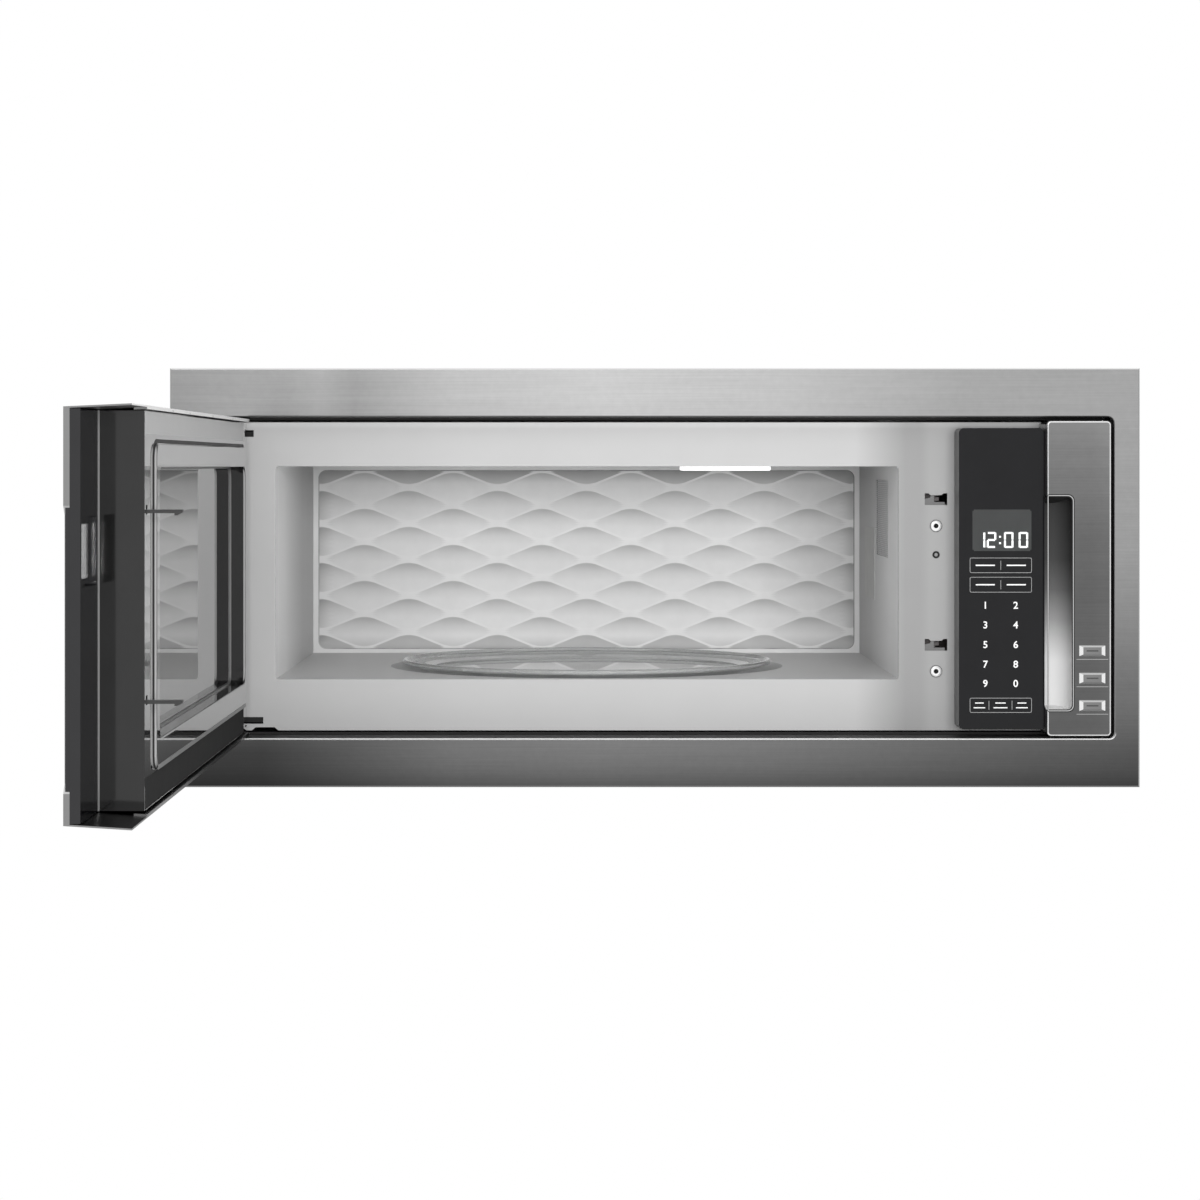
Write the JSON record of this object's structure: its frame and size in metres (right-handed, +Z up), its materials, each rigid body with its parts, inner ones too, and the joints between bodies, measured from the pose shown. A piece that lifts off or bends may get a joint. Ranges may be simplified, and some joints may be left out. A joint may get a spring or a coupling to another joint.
{
  "type": "built-in microwave oven",
  "caption": "Low, wide built-in microwave oven with a trim frame, side-hinged door resting open, turntable, touch panel and push buttons.",
  "frame": {"origin": "on the cabinet's front face, at the middle of the trim's width and the height of the chassis bottom", "axes": "+X to the right seen from the front, +Y into the cabinet, +Z up"},
  "size_m": [0.7588, 1.055, 0.328],
  "materials": {
    "trim_steel": "fine horizontal brushing",
    "black_frame": "matt black coat",
    "bright_steel": "bright, mirror-like",
    "button_steel": "satin with polished bevels",
    "galvanised": "dull zinc coat",
    "grey_enamel": "smooth light grey enamel",
    "zinc_screw": "bright zinc",
    "black_plastic": "glossy black",
    "pale_plastic": "pale grey moulded plastic",
    "switch_plastic": "dark moulded plastic",
    "black_glass": "glossy black face with pale print",
    "tinted_glass": "dark tinted glass",
    "clear_glass": "clear moulded glass",
    "display": "dark display with pale digits",
    "display_lens": "clear pane",
    "circuit_board": "green laminate",
    "lamp_plastic": "milky clear lens",
    "lamp_metal": "formed reflector",
    "screen_steel": "black perforated sheet",
    "mica": "pale insulating sheet",
    "motor_steel": "plated steel",
    "core_steel": "varnished laminations",
    "aluminium_can": "plain drawn can",
    "spring_steel": "plain wire"
  },
  "bodies": {
    "oven": {"air_duct": "black_plastic", "base_pan": "galvanised", "blower_housing": "black_plastic", "blower_motor": "motor_steel", "bracket_screws": "zinc_screw", "button_board": "circuit_board", "cavity_back": "grey_enamel", "cavity_floor": "grey_enamel", "cavity_liner": "grey_enamel", "control_bezel": "black_plastic", "control_board": "circuit_board", "cover_screws": "zinc_screw", "display_module": "display", "door_switches": "switch_plastic", "filter_board": "circuit_board", "front_plate": "grey_enamel", "front_screws": "zinc_screw", "hinge_brackets": "galvanised", "hinge_pins": "galvanised", "hv_capacitor": "aluminium_can", "interlock_bracket": "pale_plastic", "keypad_glass": "black_glass", "lamp_holder": "lamp_metal", "lamp_lens": "lamp_plastic", "magnetron": "motor_steel", "mounting_frame": "black_frame", "pocket_liner": "bright_steel", "power_gland": "black_plastic", "power_transformer": "core_steel", "rear_panel": "galvanised", "right_column": "trim_steel", "thermal_cutouts": "switch_plastic", "trim_clips": "galvanised", "trim_frame": "trim_steel", "turntable_motor": "motor_steel", "waveguide": "galvanised", "waveguide_cover": "mica", "wrap_cover": "galvanised"},
    "door": {"door_skin": "trim_steel", "door_glass": "tinted_glass", "choke_frame": "galvanised", "door_screen": "screen_steel", "inner_glass": "tinted_glass", "choke_cover": "black_plastic", "flap_liner": "black_plastic", "display_window": "display_lens", "hinge_blocks": "galvanised", "hinge_bushes": "pale_plastic", "latch_spring": "spring_steel"},
    "latch": {"latch_slide": "pale_plastic"},
    "turntable": {"glass_tray": "clear_glass", "drive_coupler": "black_plastic"},
    "roller_carrier": {"roller_ring": "pale_plastic"},
    "roller_1": {"roller_1": "pale_plastic"},
    "roller_2": {"roller_2": "pale_plastic"},
    "roller_3": {"roller_3": "pale_plastic"},
    "blower": {"blower_wheel": "black_plastic"},
    "upper_button": {"upper_button": "button_steel"},
    "middle_button": {"middle_button": "button_steel"},
    "lower_button": {"lower_button": "button_steel"}
  },
  "joints": [
    {"name": "door_hinge", "type": "hinge", "parent": "oven", "child": "door", "pos_m": [-0.338, 0.003, 0.125], "axis": [0, 0, 1], "range_deg": [0, 90]},
    {"name": "latch_lift", "type": "slide", "parent": "door", "child": "latch", "axis": [0, 0, 1], "range_m": [0, 0.002], "stiffness_N_per_m": 600, "springref_m": -0.002, "deforming": ["latch_spring"]},
    {"name": "turntable_spin", "type": "hinge", "parent": "oven", "child": "turntable", "pos_m": [-0.053, 0.1985, 0.038], "axis": [0, 0, 1], "continuous": true},
    {"name": "carrier_spin", "type": "hinge", "parent": "oven", "child": "roller_carrier", "pos_m": [-0.053, 0.1985, 0.0316], "axis": [0, 0, 1], "continuous": true},
    {"name": "roller_1_spin", "type": "hinge", "parent": "roller_carrier", "child": "roller_1", "pos_m": [0.047, 0.1985, 0.0316], "axis": [1, 0, 0], "continuous": true},
    {"name": "roller_2_spin", "type": "hinge", "parent": "roller_carrier", "child": "roller_2", "pos_m": [-0.103, 0.2851, 0.0316], "axis": [-0.5, 0.866, 0], "continuous": true},
    {"name": "roller_3_spin", "type": "hinge", "parent": "roller_carrier", "child": "roller_3", "pos_m": [-0.103, 0.1119, 0.0316], "axis": [-0.5, -0.866, 0], "continuous": true},
    {"name": "blower_spin", "type": "hinge", "parent": "oven", "child": "blower", "pos_m": [0.279, 0.38, 0.19], "axis": [0, 1, 0], "continuous": true},
    {"name": "upper_button_press", "type": "slide", "parent": "oven", "child": "upper_button", "axis": [0, 1, 0], "range_m": [0, 0.0015], "stiffness_N_per_m": 500},
    {"name": "middle_button_press", "type": "slide", "parent": "oven", "child": "middle_button", "axis": [0, 1, 0], "range_m": [0, 0.0015], "stiffness_N_per_m": 500},
    {"name": "lower_button_press", "type": "slide", "parent": "oven", "child": "lower_button", "axis": [0, 1, 0], "range_m": [0, 0.0015], "stiffness_N_per_m": 500}
  ],
  "couplings": [
    {"joint": "carrier_spin", "follows": "turntable_spin", "ratio": 0.5},
    {"joint": "roller_1_spin", "follows": "turntable_spin", "ratio": -8.4746},
    {"joint": "roller_2_spin", "follows": "turntable_spin", "ratio": -8.4746},
    {"joint": "roller_3_spin", "follows": "turntable_spin", "ratio": -8.4746}
  ]
}
